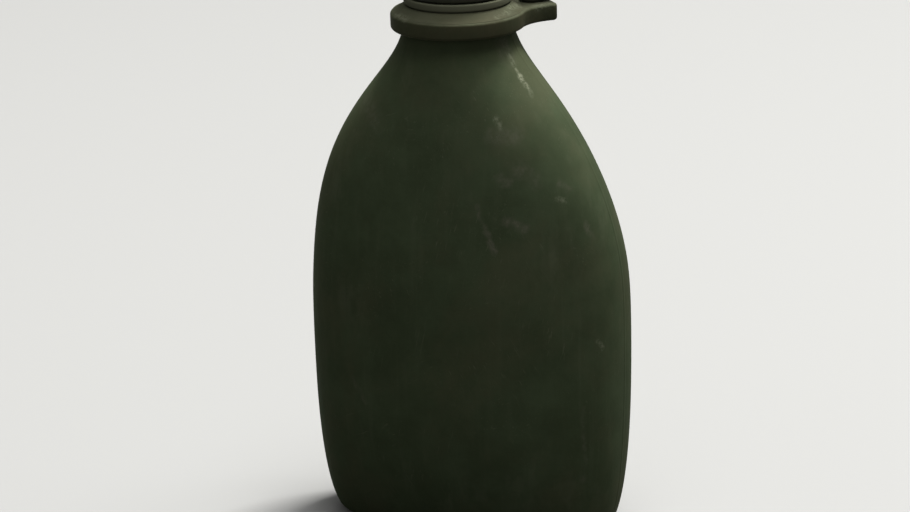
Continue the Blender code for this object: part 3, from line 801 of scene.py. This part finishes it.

# Scuffs, painted highlights and painted light and shade on the bottle and on the ring: start, end, width,
# strength and colour
MARKS = (
    # Painted light on the neck's right side just under the ring, where the ring's shadow falls
    ((0.0201, -0.0068, 0.1885), (0.0224, -0.0076, 0.1832), 0.0056, 0.75, RUB_AND_PAINTED_LIGHT),
    # A scratch on the right shoulder with a painted highlight (glint) along it, in three pieces
    ((0.0224, -0.0070, 0.1829), (0.0240, -0.0072, 0.1800), 0.0017, 0.85, SCRAPE_AND_HIGHLIGHT),
    ((0.0250, -0.0075, 0.1786), (0.0269, -0.0078, 0.1760), 0.0012, 0.50, SCRAPE_AND_HIGHLIGHT),
    ((0.0269, -0.0078, 0.1760), (0.0313, -0.0088, 0.1698), 0.0019, 0.95, SCRAPE_AND_HIGHLIGHT),
    ((0.0231, -0.0219, 0.1628), (0.0247, -0.0221, 0.1604), 0.0022, 0.40, SCRAPE_AND_HIGHLIGHT),
    ((0.0216, -0.0245, 0.1570), (0.0295, -0.0208, 0.1570), 0.0050, 0.50, RUB_AND_PAINTED_LIGHT),
    ((-0.0316, -0.0142, 0.1651), (-0.0235, -0.0234, 0.1582), 0.0060, 0.40, RUB_AND_PAINTED_LIGHT),
    ((0.0260, -0.0267, 0.1419), (0.0285, -0.0261, 0.1408), 0.0034, 0.65, RUB_AND_PAINTED_LIGHT),
    ((0.0315, -0.0236, 0.1460), (0.0363, -0.0225, 0.1412), 0.0052, 0.60, RUB_AND_PAINTED_LIGHT),
    ((0.0444, -0.0188, 0.1341), (0.0468, -0.0168, 0.1333), 0.0018, 0.40, SCRAPE_AND_HIGHLIGHT),
    ((0.0452, -0.0164, 0.1388), (0.0473, -0.0149, 0.1366), 0.0028, 0.45, RUB_AND_PAINTED_LIGHT),
    ((0.0174, -0.0302, 0.1323), (0.0209, -0.0306, 0.1245), 0.0017, 0.60, RUB_AND_PAINTED_LIGHT),
    ((0.0209, -0.0306, 0.1245), (0.0242, -0.0308, 0.1158), 0.0020, 1.00, RUB_AND_PAINTED_LIGHT),
    ((0.0290, -0.0283, 0.1268), (0.0341, -0.0268, 0.1245), 0.0032, 0.80, RUB_AND_PAINTED_LIGHT),
    ((0.0529, -0.0121, 0.1231), (0.0546, -0.0107, 0.1180), 0.0023, 0.50, RUB_AND_PAINTED_LIGHT),
    ((0.0568, -0.0122, 0.0797), (0.0579, -0.0100, 0.0764), 0.0016, 0.38, SCRAPE_AND_HIGHLIGHT),
    ((0.0526, -0.0178, 0.0549), (0.0517, -0.0157, 0.0261), 0.0018, 0.40, RUB_AND_PAINTED_LIGHT),
    ((-0.0343, -0.0295, 0.0615), (-0.0282, -0.0314, 0.0533), 0.0020, 0.40, RUB_AND_PAINTED_LIGHT),
    ((0.0120, 0.0240, 0.1560), (0.0205, 0.0225, 0.1490), 0.0026, 0.60, RUB_AND_PAINTED_LIGHT),
    ((-0.0260, 0.0250, 0.1290), (-0.0215, 0.0262, 0.1180), 0.0018, 0.55, SCRAPE_AND_HIGHLIGHT),
    ((-0.0500, 0.0220, 0.0900), (-0.0470, 0.0245, 0.0700), 0.0024, 0.50, RUB_AND_PAINTED_LIGHT),
    ((0.0440, 0.0255, 0.0600), (0.0475, 0.0235, 0.0480), 0.0026, 0.55, RUB_AND_PAINTED_LIGHT),
)
RING_MARKS = (
    # Painted shade on the lug's side face
    ((0.0247, 0.0030, 0.1936), (0.0310, 0.0172, 0.1934), 0.0052, 0.75, PAINTED_SHADE),
    # Painted highlights on the ring's collar and on the lug's top, where light catches them
    ((0.0209, -0.0052, 0.1988), (0.0207, 0.0073, 0.1986), 0.0026, 0.42, SCRAPE_AND_HIGHLIGHT),
    ((0.0262, 0.0125, 0.1975), (0.0310, 0.0190, 0.1975), 0.0034, 0.50, SCRAPE_AND_HIGHLIGHT),
    ((0.0199, -0.0110, 0.1982), (0.0215, -0.0040, 0.1982), 0.0020, 0.45, SCRAPE_AND_HIGHLIGHT),
    ((-0.0190, -0.0150, 0.1978), (-0.0120, -0.0205, 0.1978), 0.0022, 0.40, SCRAPE_AND_HIGHLIGHT),
    ((-0.0060, 0.0220, 0.1980), (-0.0150, 0.0180, 0.1980), 0.0020, 0.45, SCRAPE_AND_HIGHLIGHT),
)


def clouded(n, cloud, dark, light):
    """The plastic's own colour, cloudy and with brown stains."""
    colour = n.mix(n.ramp(cloud, 0.30, 0.72), dark, light)
    stain = n.ramp(n.noise(24, 5.0, 0.66, n.mapped((1, 1, 0.8), (0.4, 0.2, 0.9))), 0.42, 0.66)
    brown = tuple(c * f for c, f in zip(light, (1.22, 0.98, 1.02)))
    return n.mix(n.times(stain, 0.55), colour, brown)


def fine_scratches(n):
    """Fine scratches in patches, in three directions."""
    layers = []
    for k, turn in enumerate(((0, 0.25, 0), (0, -0.55, 0.5), (0, 1.15, -0.4))):
        streak = n.noise(1.0, 2.0, 0.5, n.mapped((1300, 1300, 60 + 25 * k), turn))
        patch = n.ramp(n.noise(22 + 9 * k, 3.0, 0.5, n.mapped((1, 1, 1), (k, 1, 2))), 0.50, 0.66)
        layers.append(n.times(n.ramp(streak, 0.62, 0.76), patch))
    return n.highest(*layers)


def marked(n, colour, strokes):
    """The colour with each mark painted in: scuffs, painted highlights, a painted light patch and painted
    shade. Scrapes and highlights run straight and ragged; rubs, the light patch and the shade wander and
    smear.
    """
    wandering = n.shaken(330, 0.0017)
    steady = n.shaken(260, 0.0008)
    broken = n.ramp(n.noise(190, 2.0, 0.5, n.mapped((1, 1, 0.6))), 0.34, 0.56, 0.25, 1.0)
    ragged = n.times(n.ramp(n.noise(800, 4.0, 0.75), 0.36, 0.62), broken)
    smeared = n.times(n.ramp(n.noise(520, 4.0, 0.7), 0.32, 0.66, 0.30, 1.0), broken)
    for start, end, width, strength, tint in strokes:
        place, breakup = (steady, ragged) if tint is SCRAPE_AND_HIGHLIGHT else (wandering, smeared)
        mark = n.times(n.stroke(place, start, end, width), breakup)
        colour = n.mix(n.times(mark, strength), colour, tint)
    return colour


def rim_wear_and_highlight(n, colour):
    """The colour with a lighter band at the ring's top edge: partly edge wear, partly a painted highlight
    along the rim.
    """
    height = n.height()
    band = n.times(n.ramp(height, RING_TOP - 0.0010, RING_TOP - 0.0005),
                   n.ramp(height, RING_TOP + 0.0001, RING_TOP - 0.0002))
    band = n.times(band, n.ramp(n.noise(140, 3.0, 0.6), 0.34, 0.62, 0.2, 1.0))
    return n.mix(n.times(band, 0.6), colour, OLIVE_WORN_AND_HIGHLIGHT)


def pale_bead_band(n, colour):
    """The colour with a paler band on the neck's bead, between the ring and the cap."""
    height = n.height()
    band = n.times(n.ramp(height, RING_TOP, COLLAR_TOP),
                   n.ramp(height, BEAD_TOP + 0.0012, BEAD_TOP + 0.0002))
    return n.mix(n.times(band, 0.75), colour, BEAD_PALE)


def aged_plastic(name, dark, light, dusty, roughness, scuff, dust, specular=0.06, strokes=(), detail=None):
    """Moulded plastic with cloudy colour, rubbed patches, fine scratches and dust on what faces up."""
    n = Nodes(name)
    cloud = n.noise(48, 6.0, 0.64)
    colour = clouded(n, cloud, dark, light)
    rub = n.times(n.ramp(n.noise(21, 5.0, 0.62), 0.50, 0.70),
                  n.ramp(n.noise(170, 3.0, 0.6, n.mapped((1, 1, 0.35))), 0.40, 0.66))
    scratches = fine_scratches(n)
    run_down = n.ramp(n.noise(1.0, 3.0, 0.6, n.mapped((260, 260, 14))), 0.50, 0.80)
    for mask, share in ((run_down, 0.16), (rub, 0.40), (scratches, 0.45)):
        colour = n.mix(n.times(mask, share * scuff), colour, dusty)
    if strokes:
        colour = marked(n, colour, strokes)
    if detail:
        colour = detail(n, colour)
    settled = n.times(n.upward(0.30, 0.92), n.ramp(n.noise(90, 5.0, 0.65), 0.26, 0.66, 0.35, 1.0))
    colour = n.mix(n.times(settled, dust), colour, dusty)
    n.put(n.shader.inputs["Base Color"], colour)
    rough = n.ramp(cloud, 0.25, 0.75, roughness - 0.05, roughness + 0.06)
    rough = n.math("ADD", rough, n.times(rub, 0.14))
    rough = n.math("ADD", rough, n.times(settled, 0.18), clamp=True)
    n.put(n.shader.inputs["Roughness"], rough)
    n.shader.inputs["Specular IOR Level"].default_value = specular
    wave = n.bump(n.noise(36, 2.0, 0.4), 0.35, 0.0012)
    grain = n.bump(n.noise(520, 2.0, 0.5), 0.20, 0.00014, wave)
    n.put(n.shader.inputs["Normal"], n.bump(scratches, 0.35, -0.00008, grain))
    return n.material


olive = aged_plastic("olive_bottle_plastic", OLIVE_DARK, OLIVE_LIGHT, OLIVE_WORN_AND_HIGHLIGHT,
                     0.64, 1.0, 0.30, 0.012, MARKS, pale_bead_band)
ring_olive = aged_plastic("olive_ring_plastic", RING_DARK, RING_LIGHT, KHAKI_DUST,
                          0.64, 1.0, 0.45, 0.02, RING_MARKS, rim_wear_and_highlight)
cap_dark = aged_plastic("dark_cap_plastic", (0.024, 0.028, 0.018), (0.034, 0.038, 0.024),
                        (0.088, 0.088, 0.060), 0.50, 0.7, 0.30)
stud_brown = aged_plastic("brown_stud_plastic", (0.036, 0.027, 0.018), (0.052, 0.040, 0.027),
                          (0.12, 0.105, 0.07), 0.46, 0.7, 0.3)
gasket_rubber = aged_plastic("gasket_rubber", (0.015, 0.015, 0.014), (0.022, 0.022, 0.021),
                             (0.06, 0.06, 0.055), 0.7, 0.4, 0.1)

for obj, material, body, node, slot in (
    (bottle, olive, "bottle", "bottle", "olive_bottle"),
    (neck_ring, ring_olive, "ring", "neck_ring", "olive_bottle"),
    (stud, stud_brown, "ring", "strap_stud", "brown_stud"),
    (rivet, stud_brown, "rivet", "crown_rivet", "brown_stud"),
    (cap, cap_dark, "cap", "cap_shell", "dark_cap"),
    (strap, cap_dark, None, "tether_strap", "dark_cap"),
):
    obj.data.materials.clear()
    obj.data.materials.append(material)
    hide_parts(node)
    if body:
        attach(obj, body)
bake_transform(strap)

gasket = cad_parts["cap_gasket"]
gasket.data.materials.clear()
gasket.data.materials.append(gasket_rubber)


# ---- floor, world, lamps and camera

# The floor and the world look pale to the camera and in reflections, and light the object less than that
FLOOR_SEEN = (0.47, 0.47, 0.462)
FLOOR_OTHER = (0.06, 0.06, 0.058)
WORLD_SEEN = 0.66
WORLD_OTHER = 0.14
LOOKING_RAYS = ("Is Camera Ray", "Is Glossy Ray", "Is Transmission Ray")


def floor_material():
    n = Nodes("pale_floor")
    light = n.add("ShaderNodeLightPath")
    seen = n.highest(*(light.outputs[ray] for ray in LOOKING_RAYS))
    n.put(n.shader.inputs["Base Color"], n.mix(seen, FLOOR_OTHER, FLOOR_SEEN))
    n.shader.inputs["Roughness"].default_value = 0.9
    n.shader.inputs["Specular IOR Level"].default_value = 0.0
    return n.material


plane = bmesh.new()
bmesh.ops.create_grid(plane, x_segments=1, y_segments=1, size=6)
floor_mesh = bpy.data.meshes.new("floor")
plane.to_mesh(floor_mesh)
plane.free()
floor = mesh_object("floor", floor_mesh)
floor.location.z = -0.0002
floor.data.materials.append(floor_material())

world = bpy.data.worlds.new("studio")
bpy.context.scene.world = world
world.use_nodes = True
sky = world.node_tree
path = sky.nodes.new("ShaderNodeLightPath")
seen = path.outputs[LOOKING_RAYS[0]]
for ray in LOOKING_RAYS[1:]:
    either = sky.nodes.new("ShaderNodeMath")
    either.operation = "MAXIMUM"
    sky.links.new(seen, either.inputs[0])
    sky.links.new(path.outputs[ray], either.inputs[1])
    seen = either.outputs[0]
level = sky.nodes.new("ShaderNodeMapRange")
level.inputs["To Min"].default_value = WORLD_OTHER
level.inputs["To Max"].default_value = WORLD_SEEN
sky.links.new(seen, level.inputs["Value"])
background = sky.nodes["Background"]
sky.links.new(level.outputs["Result"], background.inputs["Strength"])
background.inputs["Color"].default_value = (1.0, 1.0, 0.99, 1)

# The camera that fits the photograph: where it stands, and the pixel of the neck's axis at the ring's top
YAW = math.radians(22.5)
ELEVATION = math.radians(16.6)
ROLL = math.radians(1.59)
DISTANCE = 1.5
METRES_PER_PIXEL = 0.000365
AXIS_PIXEL = (457.86, 8.8)
IMAGE = (910, 512)
SENSOR_WIDTH = 36
LAMP_TARGET = Vector((0, 0, 0.12))

view_right = Vector((math.cos(YAW), math.sin(YAW), 0))
level_view = Vector((-math.sin(YAW), math.cos(YAW), 0))
to_camera = Vector((
    math.sin(YAW) * math.cos(ELEVATION),
    -math.cos(YAW) * math.cos(ELEVATION),
    math.sin(ELEVATION),
))
view_up = view_right.cross(-to_camera)


def lamp(name, watts, size, turn, rise, distance, colour=(1, 1, 1)):
    """An area lamp aimed at the body, turned round from the camera to its right and raised, in degrees."""
    turn, rise = math.radians(turn), math.radians(rise)
    flat = view_right * math.sin(turn) - level_view * math.cos(turn)
    direction = flat * math.cos(rise) + Vector((0, 0, math.sin(rise)))
    light = bpy.data.lights.new(name, "AREA")
    light.energy = watts
    light.size = size
    light.color = colour
    placed = bpy.data.objects.new(name, light)
    bpy.context.scene.collection.objects.link(placed)
    placed.location = LAMP_TARGET + direction.normalized() * distance
    placed.rotation_euler = (LAMP_TARGET - placed.location).to_track_quat("-Z", "Y").to_euler()


lamp("key", 172.0, 1.0, 131, 68, 4.0, (1.0, 0.995, 0.97))
lamp("top", 47.0, 1.8, 60, 76, 3.0)
lamp("side", 6.0, 1.5, 100, 50, 2.5)
lamp("front", 12.0, 1.8, -8, 78, 3.0)
lamp("fill", 2.5, 1.6, 0, 15, 2.5)

lens = bpy.data.cameras.new("camera")
lens.sensor_width = SENSOR_WIDTH
lens.lens = DISTANCE / METRES_PER_PIXEL * SENSOR_WIDTH / IMAGE[0]
camera = bpy.data.objects.new("camera", lens)
bpy.context.scene.collection.objects.link(camera)
right = view_right * math.cos(ROLL) - view_up * math.sin(ROLL)
up = view_right * math.sin(ROLL) + view_up * math.cos(ROLL)
camera.location = (
    Vector((0, 0, RING_TOP))
    + to_camera * DISTANCE
    - right * (AXIS_PIXEL[0] - IMAGE[0] / 2) * METRES_PER_PIXEL
    - up * (IMAGE[1] / 2 - AXIS_PIXEL[1]) * METRES_PER_PIXEL
)
camera.rotation_euler = Matrix((right, up, to_camera)).transposed().to_euler()
bpy.context.scene.camera = camera
bpy.context.scene.view_settings.view_transform = "Standard"
